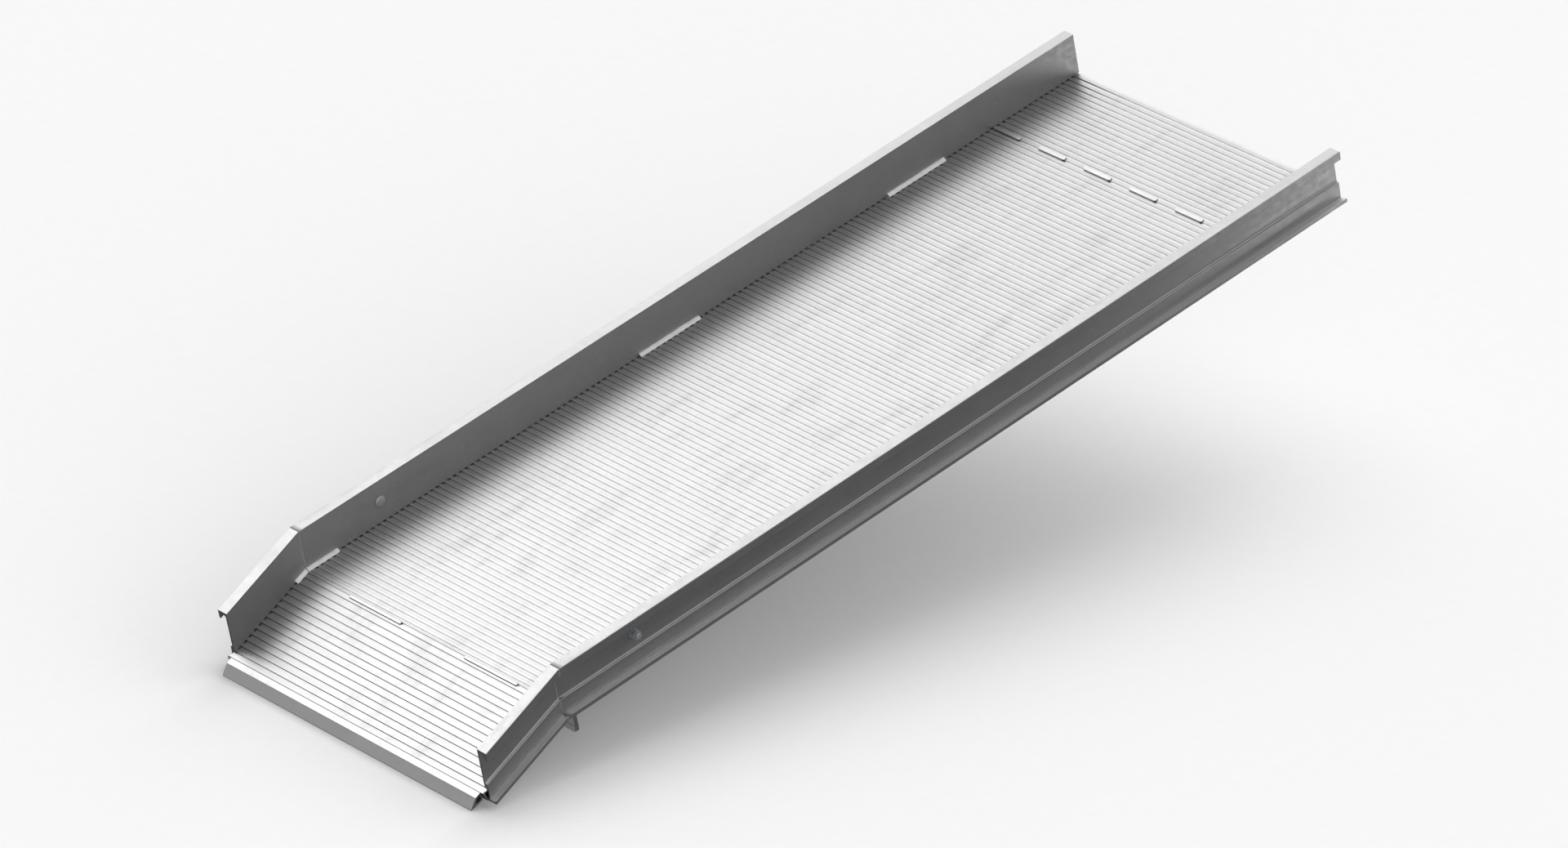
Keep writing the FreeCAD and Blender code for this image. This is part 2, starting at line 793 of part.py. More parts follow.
def split_pin_path():
    """Points along the bent wire, from one spread end over the loop to the other."""
    gap = size("split_leg_offset")
    loop = size("split_loop")
    leg = size("split_leg")
    start = size("split_straight") - leg
    neck = size("pin_radius") + size("cut_margin")
    half = [
        Vector(size("split_bend"), 0, -leg - size("split_bend_drop")),
        Vector(gap + size("split_bend_start"), 0, -leg),
    ]
    steps = 8
    for step in range(steps + 1):
        half.append(Vector(gap, 0, start + (neck - start) * step / steps))
    for out, rise in SPLIT_LOOP_CURVE:
        half.append(Vector(loop * out, 0, neck + loop * rise))
    other = [Vector(-point.x, 0, point.z) for point in reversed(half)]
    return half + [Vector(0, 0, neck + 2 * loop)] + other


def split_pins():
    """Bent wire pins: two legs through the hinge pin, a loop above and spread ends below."""
    path = split_pin_path()
    stack = size("flap_ear_thickness") / 2 + size("ear_gap") + size("ear_thickness")
    tail = stack + size("pin_washer") + size("split_hole") + size("split_hole_gap")
    middle_z = -size("hinge_drop")
    curve = Part.BSplineCurve()
    curve.interpolate(path)
    spine = Part.Wire([curve.toShape()])
    heading = curve.tangent(curve.FirstParameter)[0]
    profile = Part.Wire([Part.makeCircle(size("split_wire"), path[0], heading)])
    single = spine.makePipeShell([profile], True, False)
    copies = []
    spread = size("hinge_spread")
    count = int(size("hinge_count"))
    for index in range(count):
        across = -spread / 2 + index * spread / (count - 1) + tail
        copy = single.copy()
        copy.translate(Vector(0, across, middle_z))
        copies.append(copy)
    feature = DOC.addObject("Part::Feature", "split_pins")
    feature.Label = "split_pins"
    feature.Shape = Part.makeCompound(copies)
    feature.Placement = main_placement()
    return feature


# ---------------------------------------------------------------- anchor bolts


def carriage_bolts():
    """Domed bolts with a square neck in each rail, dome inside, thread outside."""
    body = new_body("carriage_bolts")
    inner = "($clear_width / 2)"
    dome = new_sketch(body, "XY_Plane", "dome", offset="$bolt_height", across="$bolt_station")
    tip = f"{inner} + $web + $bolt_washer + $nut_height + $nut_collar + $bolt_end"
    profile = [
        ("0", tip),
        ("$bolt_radius - $bolt_tip", tip),
        ("$bolt_radius", f"{tip} - $bolt_tip"),
        ("$bolt_radius", inner),
        ("$bolt_head_radius", inner),
        ("$bolt_head_radius", f"{inner} - $bolt_head_rim"),
    ]
    steps = 6
    for step in range(1, steps + 1):
        turn = 90 * step / steps
        out = f"$bolt_head_radius * cos({turn})" if step < steps else "0"
        rise = f"($bolt_head_height - $bolt_head_rim) * sin({turn})"
        profile.append((out, f"{inner} - $bolt_head_rim - {rise}"))
    add_loop(dome, profile)
    spin = body.newObject("PartDesign::Revolution", "carriage_bolts_spin")
    spin.Profile = dome
    spin.ReferenceAxis = (dome, ["V_Axis"])
    spin.Angle = 360
    half = "$bolt_neck / 2"
    neck = slab(body, "neck", [
        (f"$bolt_station - {half}", f"$bolt_height - {half}"),
        (f"$bolt_station + {half}", f"$bolt_height - {half}"),
        (f"$bolt_station + {half}", f"$bolt_height + {half}"),
        (f"$bolt_station - {half}", f"$bolt_height + {half}"),
    ], inner, f"{inner} + $web - $bolt_neck_gap")
    mirror(body, [spin, neck])
    body.Placement = main_placement()
    return body


def bolt_washers():
    """Flat washers under the nuts, on the outside of the rails."""
    body = new_body("bolt_washers")
    high = "$clear_width / 2 + $web + $bolt_washer"
    sketch = new_sketch(body, "XZ_Plane", "ring", offset=f"-({high})")
    add_circle(sketch, "$bolt_station", "$bolt_height", "$bolt_washer_radius")
    add_circle(sketch, "$bolt_station", "$bolt_height", "$bolt_radius + $bolt_washer_gap")
    ring = pad(body, sketch, "$bolt_washer")
    mirror(body, [ring])
    body.Placement = main_placement()
    return body


def lock_nuts():
    """Hexagon nuts with a locking collar on their outer end."""
    body = new_body("lock_nuts")
    low = "$clear_width / 2 + $web + $bolt_washer"
    corners = []
    for index in range(6):
        turn = 60 * index + 30
        corners.append((
            f"$bolt_station + $nut_flats / sqrt(3) * cos({turn})",
            f"$bolt_height + $nut_flats / sqrt(3) * sin({turn})",
        ))
    hole = ("$bolt_station", "$bolt_height", "$bolt_radius + $thread_gap")
    hexagon = slab(body, "hexagon", corners, low, f"{low} + $nut_height", holes=[hole])
    collar = new_sketch(body, "XZ_Plane", "collar", offset=f"-({low} + $nut_height + $nut_collar)")
    add_circle(collar, "$bolt_station", "$bolt_height", "$nut_collar_radius")
    add_circle(collar, *hole)
    ring = pad(body, collar, "$nut_collar")
    mirror(body, [hexagon, ring])
    body.Placement = main_placement()
    return body


# ---------------------------------------------------------------- weld beads


def flat_bead(body, name, low_x, high_x, low_y, high_y):
    """A low rounded bead lying on the rib tops between formulas of X and Y."""
    sketch = new_sketch(body, "XY_Plane", name)
    add_loop(sketch, [(low_x, low_y), (high_x, low_y), (high_x, high_y), (low_x, high_y)])
    return pad(body, sketch, "$bead_height")


def round_bead(body, corner):
    """Round a bead's ends in plan and then its top edge."""
    DOC.recompute()

    def upright(start, end):
        return near(start.x, end.x) and near(start.y, end.y)

    round_edges(body, "ends", edges_where(body.Shape, upright), corner)
    DOC.recompute()
    top = size("bead_height")

    def on_top(start, end):
        return near(start.z, top) and near(end.z, top)

    round_edges(body, "tops", edges_where(body.Shape, on_top), "$bead_round")
    DOC.recompute()


def bead_root(body, name, low_x, high_x, low_y, high_y):
    """The part of a bead that fills a groove below it, down to the groove's floor."""
    sketch = new_sketch(body, "XY_Plane", name, offset="-$rib_height")
    add_loop(sketch, [(low_x, low_y), (high_x, low_y), (high_x, high_y), (low_x, high_y)])
    return pad(body, sketch, "$rib_height")


def deck_slot_welds():
    """Row of short beads across the deck above the end cross-member."""
    body = new_body("deck_slot_welds")
    half = "$bead_width / 2"
    low_x = f"$member_station + $bead_shift - {half}"
    high_x = f"$member_station + $bead_shift + {half}"
    low_y = "-$bead_outer - $bead_length / 2"
    high_y = "-$bead_outer + $bead_length / 2"
    row = flat_bead(body, "bead", low_x, high_x, low_y, high_y)
    repeat(body, [row], "Y_Axis", "2 * $bead_outer", "$bead_count")
    round_bead(body, f"{half} - $bead_end_margin")
    root = bead_root(body, "root", low_x, "$member_station - $piece_gap",
                     f"{low_y} + {half}", f"{high_y} - {half}")
    repeat(body, [root], "Y_Axis", "2 * $bead_outer", "$bead_count", "root_row")
    body.Placement = main_placement()
    return body


def fold_slot_welds():
    """Two long beads on the flap's edge beside the bend."""
    body = new_body("fold_slot_welds")
    low_x = "-$fold_bead_start - $fold_bead_width"
    half = "$fold_bead_width / 2"
    spans = {}
    for name, middle in (("far", "$fold_bead_far"), ("near", "-$fold_bead_near")):
        low_y = f"{middle} - $fold_bead_length / 2"
        high_y = f"{middle} + $fold_bead_length / 2"
        spans[name] = (f"{low_y} + {half}", f"{high_y} - {half}")
        flat_bead(body, name, low_x, "-$fold_bead_start", low_y, high_y)
    round_bead(body, f"{half} - $bead_end_margin")
    groove = ("-$flap_rib_start + $rib_width", "-$flap_lip")
    for name, span in spans.items():
        bead_root(body, f"{name}_root", *groove, *span)
    body.Placement = flap_placement()
    return body


def corner_bead(body, name, start, length, flipped=False):
    """Fillet weld in the corner between the deck and the far rail's web."""
    wall = "$clear_width / 2"
    sketch = new_sketch(body, "YZ_Plane", name, offset=start)
    add_loop(sketch, [
        (wall, "$web_clearance"),
        (wall, "$side_bead_height"),
        (f"{wall} - $side_bead_belly", "$side_bead_height - $side_bead_crown"),
        (f"{wall} - $side_bead_width + $side_bead_toe", "$side_bead_belly"),
        (f"{wall} - $side_bead_width", "0"),
        (f"{wall} - $side_bead_root", "0"),
    ])
    return pad(body, sketch, length, flipped=flipped)


def rail_stitch_welds():
    """Stitches along both edges of the main deck."""
    body = new_body("rail_stitch_welds")
    beads = []
    for letter in "abc":
        start = f"$side_bead_{letter}"
        beads.append(corner_bead(body, f"bead_{letter}", start, f"$side_bead_{letter}_length"))
    mirror(body, beads)
    body.Placement = main_placement()
    return body


def flap_stitch_welds():
    """Stitches along both edges of the flap, next to the bend."""
    body = new_body("flap_stitch_welds")
    start = "-$seam_gap / cos($fold_angle)"
    bead = corner_bead(body, "bead", start, "$flap_bead_length", flipped=True)
    mirror(body, [bead])
    body.Placement = flap_placement()
    return body


def strip_weld(body, name, corner_x, leg_x, corner_z, leg_z, low, high):
    """Triangular bead along Y in the corner of an upright and a flat face."""
    return slab(body, name, [
        (corner_x, corner_z),
        (f"({corner_x}) + ({leg_x})", corner_z),
        (corner_x, f"({corner_z}) + ({leg_z})"),
    ], low, high)


def hook_bar_weld():
    """Bead along the hook bar's back, under the first plank."""
    body = new_body("hook_bar_weld")
    half = "($clear_width / 2 - $hook_weld_inset)"
    strip_weld(body, "back", "$hook_start + $hook_thickness", "$hook_weld",
               "-$plank_depth", "-$hook_weld", f"-{half}", half)
    body.Placement = main_placement()
    return body


def crossmember_welds():
    """Beads along both sides of the end cross-member."""
    body = new_body("crossmember_welds")
    half = "($clear_width / 2 - $member_weld_inset)"
    strip_weld(body, "high", "$member_station + $member_width / 2", "$member_weld",
               "-$plank_depth", "-$member_weld", f"-{half}", half)
    strip_weld(body, "low", "$member_station - $member_width / 2", "-$member_weld",
               "-$plank_depth", "-$member_weld", f"-{half}", half)
    body.Placement = main_placement()
    return body


def toe_seam_weld():
    """Bead under the flap that fills the groove between the toe's heel and the lower plank."""
    body = new_body("toe_seam_weld")
    wall = "-$flap_seam + $toe_gap - $piece_gap"
    throat = "-$toe_heel_drop + $toe_heel_chamfer - $toe_weld_throat"
    slab(body, "bead", [
        ("-$flap_seam - $toe_heel_back + $toe_weld_heel", "-$toe_heel_drop - $toe_weld_low"),
        (wall, "-$toe_heel_drop - $toe_weld_belly"),
        (wall, throat),
        ("-$flap_seam - $toe_weld_back", throat),
    ], "-$toe_weld_half", "$toe_weld_half")
    body.Placement = flap_placement()
    return body


# ---------------------------------------------------------------- document


def build():
    pieces = [
        main_rail("main_rail_far", 1),
        main_rail("main_rail_near", -1),
        flap_rail("flap_rail_far", 1),
        flap_rail("flap_rail_near", -1),
        fold_edge(),
    ]
    for number in range(1, int(size("plank_count")) + 1):
        pieces.append(deck_plank(number))
    pieces += [
        flap_plank_upper(),
        flap_plank_lower(),
        toe_plate(),
        end_crossmember(),
        hook_bar(),
        main_ears(),
        flap_ears(),
        hinge_pins(),
        pin_washers(),
        split_pins(),
        carriage_bolts(),
        bolt_washers(),
        lock_nuts(),
        deck_slot_welds(),
        fold_slot_welds(),
        rail_stitch_welds(),
        flap_stitch_welds(),
        hook_bar_weld(),
        crossmember_welds(),
        toe_seam_weld(),
    ]
    return pieces


def check(pieces):
    """Stop if anything in the document failed or a piece has no valid solid."""
    for item in DOC.Objects:
        if "Invalid" in item.State or "Error" in item.State:
            raise ValueError(f"{item.Name} failed: {item.State}")
    for piece in pieces:
        if piece.Shape.isNull() or not piece.Shape.isValid() or not piece.Shape.Solids:
            raise ValueError(f"{piece.Label} has no valid solid")


def export(pieces):
    os.makedirs("parts", exist_ok=True)
    for piece in pieces:
        piece.Shape.exportStep(f"parts/{piece.Label}.step")


fill_sheet()
PIECES = build()
DOC.recompute()
check(PIECES)
export(PIECES)
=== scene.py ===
"""Looks of the folding aluminium loading ramp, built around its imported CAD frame.

The CAD parts keep their shapes. They get procedural metals and a hair of rounding on their
sharp edges, and a plain soft studio is set up around them.
"""

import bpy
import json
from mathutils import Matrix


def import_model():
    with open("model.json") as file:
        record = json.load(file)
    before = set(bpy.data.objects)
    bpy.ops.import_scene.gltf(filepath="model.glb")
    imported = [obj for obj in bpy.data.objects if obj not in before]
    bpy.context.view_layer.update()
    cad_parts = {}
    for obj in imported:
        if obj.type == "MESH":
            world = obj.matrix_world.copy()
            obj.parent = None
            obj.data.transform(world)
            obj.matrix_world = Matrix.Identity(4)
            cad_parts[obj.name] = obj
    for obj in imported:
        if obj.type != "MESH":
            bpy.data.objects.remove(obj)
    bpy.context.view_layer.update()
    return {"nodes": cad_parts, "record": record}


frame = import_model()

import json
import math
from collections import namedtuple

import bpy
from mathutils import Vector

# ---------------------------------------------------------------- the ramp, in metres

MAIN_SLOPE = math.radians(11.84)
FLAP_SLOPE = math.radians(11.84 + 20.5)
SLOPES = {"main": MAIN_SLOPE, "flap": FLAP_SLOPE}
BEND = (0.223476, 0.0, 0.159247)  # the deck's bend, in the middle of the rib tops
RIB_PITCH = 0.0159
RIB_HEIGHT = 0.0022
FIRST_RIB = {"main": 0.0220, "flap": -0.01475}  # lower edge of a rib, from the bend
TOE_SEAM = -0.2367  # the seam between the flap's last plank and its bevelled edge
LEDGES_BELOW = 0.05  # height over the rib tops that parts the rails' ledges from their flange

# ---------------------------------------------------------------- finishes

# tone: reflected share of light. mottling: strength of blotches and flecks.
# clouds: how many oxide clouds to the metre.
Finish = namedtuple("Finish", "tone roughness mottling clouds")
# The main and flap copies of each finish differ in tone as painted light and shade: one aluminium
# is set lighter or darker per section to match how each section is lit.
RAIL_FINISH = {
    "main": Finish(tone=0.84, roughness=0.42, mottling=0.20, clouds=14.0),
    "flap": Finish(tone=0.95, roughness=0.43, mottling=0.18, clouds=14.0),
}
DECK_FINISH = {
    "main": Finish(tone=0.97, roughness=0.38, mottling=0.045, clouds=9.0),
    "flap": Finish(tone=0.92, roughness=0.38, mottling=0.03, clouds=9.0),
}
TOE_FINISH = Finish(tone=0.92, roughness=0.36, mottling=0.08, clouds=9.0)
UNDER_FINISH = Finish(tone=0.8, roughness=0.4, mottling=0.08, clouds=9.0)

# how often the drawing lines change along, across and up from the ramp
DRAWN_ALONG = (2.0, 900.0, 900.0)
DRAWN_ACROSS = (900.0, 2.0, 900.0)
SMEARS = (3.0, 9.0, 6.0)
EVEN = (1.0, 1.0, 1.0)

# most of a noise lies between these
NOISE_RANGE = (0.3, 0.7)
# pointiness of a slightly and of a fully rubbed edge
EDGE_RANGE = (0.51, 0.56)

# painted shade on the rib sides and at the rib feet: two stations up the ramp, and its strength at
# each
RIB_SHADE = {"main": (0.0, 1.6, 0.02, 0.06), "flap": (-0.22, -0.02, 0.95, 0.60)}
# tone of the painted rib shade
RIB_SHADE_TONE = 0.07
DARK_LINE = 0.10  # tone of seams and of the shaded sides of beads
# tone of painted shade on the flap rails' end faces and along the rib edges
PAINTED_SHADE_TONE = 0.12
# tone of rubbed edges, and of the painted highlight at the rails' bend seam
RUBBED_AND_HIGHLIGHT_TONE = 0.97


# ---------------------------------------------------------------- node material helpers


class Shader:
    """Small wrapper that adds nodes to a material and links them."""

    def __init__(self, name):
        self.material = bpy.data.materials.new(name)
        self.material.use_nodes = True
        self.tree = self.material.node_tree
        self.tree.nodes.clear()
        out = self.tree.nodes.new("ShaderNodeOutputMaterial")
        self.surface = self.tree.nodes.new("ShaderNodeBsdfPrincipled")
        self.tree.links.new(self.surface.outputs[0], out.inputs[0])

    def node(self, kind, settings=None, **inputs):
        made = self.tree.nodes.new(kind)
        for key, value in (settings or {}).items():
            setattr(made, key, value)
        for key, value in inputs.items():
            self.feed(made.inputs[key.replace("_", " ")], value)
        return made

    def feed(self, socket, value):
        """Link a socket to another one, or give it a plain value."""
        if isinstance(value, bpy.types.NodeSocket):
            self.tree.links.new(value, socket)
        else:
            socket.default_value = value

    def object_point(self):
        return self.node("ShaderNodeTexCoord").outputs["Object"]

    def position(self, slope, scale):
        """Coordinates along the ramp, across it and up from it, stretched by scale."""
        turned = self.turned(self.object_point(), slope)
        return self.node("ShaderNodeMapping", None, Vector=turned, Scale=scale).outputs[0]

    def ramp_axes(self, slope):
        """Distance up the ramp from the bend, across it, and above the rib tops."""
        moved = self.node("ShaderNodeVectorMath", {"operation": "SUBTRACT"})
        self.feed(moved.inputs[0], self.object_point())
        self.feed(moved.inputs[1], BEND)
        return self.split(moved.outputs[0], slope)

    def facing(self, slope):
        """The surface's own direction along the ramp, across it and up from it."""
        return self.split(self.node("ShaderNodeTexCoord").outputs["Normal"], slope)

    def turned(self, vector, slope):
        return self.node("ShaderNodeVectorRotate", {"rotation_type": "Y_AXIS"},
                         Vector=vector, Angle=slope).outputs[0]

    def split(self, vector, slope):
        turned = self.turned(vector, slope)
        return self.node("ShaderNodeSeparateXYZ", None, Vector=turned).outputs

    def pointiness(self):
        return self.node("ShaderNodeNewGeometry").outputs["Pointiness"]

    def noise(self, vector, scale, detail=3.0, roughness=0.55):
        made = self.node("ShaderNodeTexNoise", {"noise_dimensions": "3D"},
                         Vector=vector, Scale=scale, Detail=detail, Roughness=roughness)
        return made.outputs["Fac"]

    def stretch(self, value, low, high, new_low=0.0, new_high=1.0):
        """Map low to new_low and high to new_high, and clamp what lies outside."""
        made = self.node("ShaderNodeMapRange", {"clamp": True})
        for index, number in enumerate((value, low, high, new_low, new_high)):
            self.feed(made.inputs[index], number)
        return made.outputs[0]

    def math(self, operation, first, second=0.0):
        made = self.node("ShaderNodeMath", {"operation": operation})
        self.feed(made.inputs[0], first)
        self.feed(made.inputs[1], second)
        return made.outputs[0]

    def product(self, first, second):
        return self.math("MULTIPLY", first, second)

    def mix(self, amount, first, second):
        """The first colour where amount is 0, the second where it is 1."""
        made = self.node("ShaderNodeMix", {"data_type": "RGBA"})
        self.feed(made.inputs[0], amount)
        self.feed(made.inputs[6], first)
        self.feed(made.inputs[7], second)
        return made.outputs[2]

    def bump(self, height, strength, distance, normal=None):
        made = self.node("ShaderNodeBump", None,
                         Strength=strength, Distance=distance, Height=height)
        if normal is not None:
            self.feed(made.inputs["Normal"], normal)
        return made.outputs[0]

    def set(self, **inputs):
        for key, value in inputs.items():
            self.feed(self.surface.inputs[key.replace("_", " ")], value)


def grey(level, warm=0.0):
    return (level + warm, level, level - warm, 1.0)


# ---------------------------------------------------------------- metals


def mill_finish(shader, slope, grain, finish):
    """Colour, roughness and bump of drawn aluminium: lines, clouds, blotches and scuffs."""
    tone, roughness, mottling, cloud_scale = finish
    even = shader.position(slope, EVEN)
    lines = shader.noise(shader.position(slope, grain), 1.0, 4.0, 0.6)
    clouds = shader.noise(even, cloud_scale, 5.0, 0.6)
    blotches = shader.noise(even, 62.0, 4.0, 0.7)
    specks = shader.noise(even, 260.0, 3.0, 0.6)
    smears = shader.noise(shader.position(slope, SMEARS), 2.2, 6.0, 0.7)

    bright = shader.stretch(clouds, 0.32, 0.68)
    scuffed = shader.stretch(smears, 0.52, 0.72)
    patch = shader.stretch(blotches, 0.38, 0.66, 0.0, mottling * 3.0)
    fleck = shader.stretch(specks, 0.44, 0.64, 0.0, mottling * 2.4)
    base = shader.mix(bright, grey(tone * (1.0 - mottling)), grey(tone))
    base = shader.mix(shader.product(scuffed, 0.3), base, grey(tone * 0.8, warm=0.004))
    base = shader.mix(patch, base, grey(tone * 0.72))
    base = shader.mix(fleck, base, grey(tone * 0.62))

    rough = shader.stretch(lines, *NOISE_RANGE, roughness - 0.05, roughness + 0.06)
    rough = shader.math("ADD", rough, shader.product(scuffed, 0.08))
    rough = shader.math("ADD", rough, shader.product(patch, 0.12))
    normal = shader.bump(lines, strength=0.10, distance=0.0004)
    normal = shader.bump(specks, strength=0.08, distance=0.0005, normal=normal)
    shader.set(Metallic=1.0, Roughness=rough, Normal=normal)
    return base


def plain_aluminium(name, section, finish):
    """Mill-finish aluminium with rubbed, brighter edges, and the toe plate's dark seam."""
    shader = Shader(name)
    slope = SLOPES[section]
    base = mill_finish(shader, slope, DRAWN_ACROSS, finish)
    rubbed = shader.stretch(shader.pointiness(), *EDGE_RANGE, 0.0, 0.5)
    base = shader.mix(rubbed, base, grey(min(1.0, finish.tone * 1.12)))
    if name == "toe":
        along = shader.ramp_axes(slope)[0]
        seam = shader.stretch(along, TOE_SEAM - 0.0012, TOE_SEAM - 0.0006, 0.0, 0.75)
        base = shader.mix(seam, base, grey(DARK_LINE))
    shader.set(Base_Color=base)
    return shader.material


def shaded_ribs(shader, base, along, phase, top, tone):
    """Rib tops with painted shade that darkens them up the ramp, and a painted dark border along
    each rib's upper edge that fades out up the ramp.
    """
    # painted shade: rib tops darker up the ramp
    shade_up_ramp = shader.stretch(along, 0.35, 1.5, 0.0, 0.62)
    base = shader.mix(shader.product(top, shade_up_ramp), base, grey(tone * 0.70))
    # painted shade: a dark border along the upper edge of each rib top
    rising = shader.stretch(phase, 0.36, 0.46)
    past_edge = shader.stretch(phase, 0.504, 0.51, 1.0, 0.0)
    border = shader.product(shader.product(rising, top), past_edge)
    border = shader.product(border, shader.stretch(along, 0.1, 1.3, 0.26, 0.0))
    return shader.mix(border, base, grey(PAINTED_SHADE_TONE))


def ribbed_aluminium(name, section, finish):
    """Deck planks: main rib tops painted darker up the ramp, grooves kept out of that painted
    shade, and painted shade on the rib sides and at the rib feet.
    """
    shader = Shader(name)
    slope = SLOPES[section]
    base = mill_finish(shader, slope, DRAWN_ACROSS, finish)
    along, _, height = shader.ramp_axes(slope)
    turn, _, lift = shader.facing(slope)

    # where a point lies in its pitch: 0 at a rib's lower edge, 1 at the next rib's
    from_rib = shader.math("SUBTRACT", along, FIRST_RIB[section])
    phase = shader.math("FRACT", shader.math("DIVIDE", from_rib, RIB_PITCH))
    level = shader.stretch(lift, 0.5, 0.9)
    low = shader.stretch(height, -0.9 * RIB_HEIGHT, -0.5 * RIB_HEIGHT, 1.0, 0.0)
    groove = shader.product(low, level)
    top = shader.math("SUBTRACT", level, groove)

    # painted shade: a dark line at the foot of each rib and on the rib sides, strongest on the
    # flap
    foot = shader.product(groove, shader.stretch(phase, 0.90, 0.98))
    side = shader.stretch(shader.math("ABSOLUTE", turn), 0.4, 0.9)
    rib_shade = shader.product(shader.math("MAXIMUM", foot, side),
                           shader.stretch(along, *RIB_SHADE[section]))
    if section == "main":
        base = shaded_ribs(shader, base, along, phase, top, finish.tone)
    else:
        seam = shader.stretch(along, TOE_SEAM + 0.0004, TOE_SEAM + 0.0012, 0.75, 0.0)
        base = shader.mix(seam, base, grey(DARK_LINE))
    shader.set(Base_Color=shader.mix(rib_shade, base, grey(RIB_SHADE_TONE)))
    return shader.material


def rail_aluminium(name, section, finish):
    """Side rails: flanges painted darker up the ramp, a little dust and a painted highlight line
    on the ledges, painted shade on the flap's end faces, rubbed edges and a painted highlight at
    the seam.
    """
    shader = Shader(name)
    slope = SLOPES[section]
    base = mill_finish(shader, slope, DRAWN_ALONG, finish)
    along, across, height = shader.ramp_axes(slope)
    turn, _, lift = shader.facing(slope)
    top = shader.stretch(lift, 0.6, 0.9)

    # painted shade: the up-facing flanges darker up the ramp
    flange_shade = shader.product(top, shader.stretch(along, 0.3, 2.0, 0.0, 0.85))
    base = shader.mix(flange_shade, base, grey(0.50))
    rubbed = shader.stretch(shader.pointiness(), *EDGE_RANGE, 0.0, 0.6)
    base = shader.mix(rubbed, base, grey(RUBBED_AND_HIGHLIGHT_TONE))

    # the seam at the bend is square to the main section in both sections
    from_bend = shader.ramp_axes(MAIN_SLOPE)[0]
    if section == "main":
        shade = shader.stretch(from_bend, 0.0016, 0.014, 0.92, 0.0)
        base = shader.mix(shader.product(shade, top), base, grey(DARK_LINE))
        seam = shader.stretch(from_bend, 0.0006, 0.0014, 0.45, 0.0)
    else:
        seam = shader.stretch(from_bend, -0.0010, -0.0005, 0.0, 0.3)
        # painted shade: the flap rail's faces that look along the ramp are darkened
        end_face_shade = shader.stretch(shader.math("ABSOLUTE", turn), 0.60, 0.85, 0.0, 0.80)
        base = shader.mix(end_face_shade, base, grey(PAINTED_SHADE_TONE))
    # painted highlight: the seam at the bend is drawn as a bright line
    base = shader.mix(seam, base, grey(RUBBED_AND_HIGHLIGHT_TONE))

    # a little matt dust on the up-facing ledges, with a painted highlight line along their outer
    # edge and at the bend seam
    low = shader.stretch(height, LEDGES_BELOW, LEDGES_BELOW + 0.01, 1.0, 0.0)
    outside = shader.stretch(shader.math("ABSOLUTE", across), 0.3930, 0.3944, 0.12, 1.0)
    ledge_dust_and_highlight = shader.product(shader.product(top, low), outside)
    dust_and_highlight = shader.math("MAXIMUM", shader.product(ledge_dust_and_highlight, 0.45), shader.product(seam, 0.35))
    shader.set(Base_Color=base, Metallic=shader.math("SUBTRACT", 1.0, dust_and_highlight))
    return shader.material


def weld_metal(name, section, runs_along, polish, foot_shade, lower_side):
    """Bright rippled bead, with painted shade at its foot and on the side that looks down the
    ramp.
    """
    shader = Shader(name)
    slope = SLOPES[section]
    place = shader.position(slope, EVEN)
    grain = shader.noise(place, 420.0, 3.0, 0.6)
    patches = shader.noise(place, 45.0, 3.0, 0.5)
    bands = {"wave_type": "BANDS", "bands_direction": "X" if runs_along else "Y"}
    ripples = shader.node("ShaderNodeTexWave", bands, Vector=place, Scale=95.0,
                          Distortion=3.0, Detail=2.0, Detail_Scale=1.5).outputs["Fac"]

    base = shader.mix(shader.stretch(patches, 0.35, 0.65), grey(0.90), grey(0.99))
    # painted shade: a dark line round the foot of the bead
    foot = shader.stretch(shader.ramp_axes(slope)[2], 0.0004, 0.0012, foot_shade, 0.0)
    base = shader.mix(foot, base, grey(0.08))
    # painted shade on the bead's side that looks down the ramp
    downhill = shader.product(shader.facing(slope)[0], -1.0)
    downhill = shader.stretch(downhill, 0.35, 0.75, 0.0, lower_side)
    base = shader.mix(downhill, base, grey(DARK_LINE))

    rough = shader.stretch(grain, *NOISE_RANGE, 0.30, 0.45)
    normal = shader.bump(ripples, strength=0.16, distance=0.0004)
    normal = shader.bump(grain, strength=0.15, distance=0.0003, normal=normal)
    shader.set(Base_Color=base, Metallic=polish, Roughness=rough, Normal=normal)
    return shader.material


def zinc_steel(name):
    """Zinc-plated steel: cool grey, small crystals, slightly duller than the aluminium."""
    shader = Shader(name)
    place = shader.position(MAIN_SLOPE, EVEN)
    crystals = shader.node("ShaderNodeTexVoronoi", None, Vector=place, Scale=650.0)
    haze = shader.noise(place, 160.0, 4.0, 0.6)
    tone = shader.stretch(crystals.outputs["Distance"], 0.0, 0.9)
    base = shader.mix(tone, (0.62, 0.64, 0.66, 1.0), (0.52, 0.54, 0.57, 1.0))
    rough = shader.stretch(haze, *NOISE_RANGE, 0.28, 0.45)
    normal = shader.bump(haze, strength=0.15, distance=0.0003)
    shader.set(Base_Color=base, Metallic=0.8, Roughness=rough, Normal=normal)
    return shader.material


# ---------------------------------------------------------------- metals on the CAD parts

MATERIALS = {"zinc": zinc_steel("zinc"), "toe": plain_aluminium("toe", "flap", TOE_FINISH)}
for part in ("main", "flap"):
    MATERIALS["rail_" + part] = rail_aluminium("rail_" + part, part, RAIL_FINISH[part])
    MATERIALS["deck_" + part] = ribbed_aluminium("deck_" + part, part, DECK_FINISH[part])
    MATERIALS["under_" + part] = plain_aluminium("under_" + part, part, UNDER_FINISH)
    MATERIALS["stitch_" + part] = weld_metal("stitch_" + part, part, True, 0.62, 0.0, 0.0)
MATERIALS["weld_main"] = weld_metal("weld_main", "main", False, 1.0, 0.55, 0.30)
MATERIALS["weld_flap"] = weld_metal("weld_flap", "flap", False, 1.0, 0.90, 0.90)

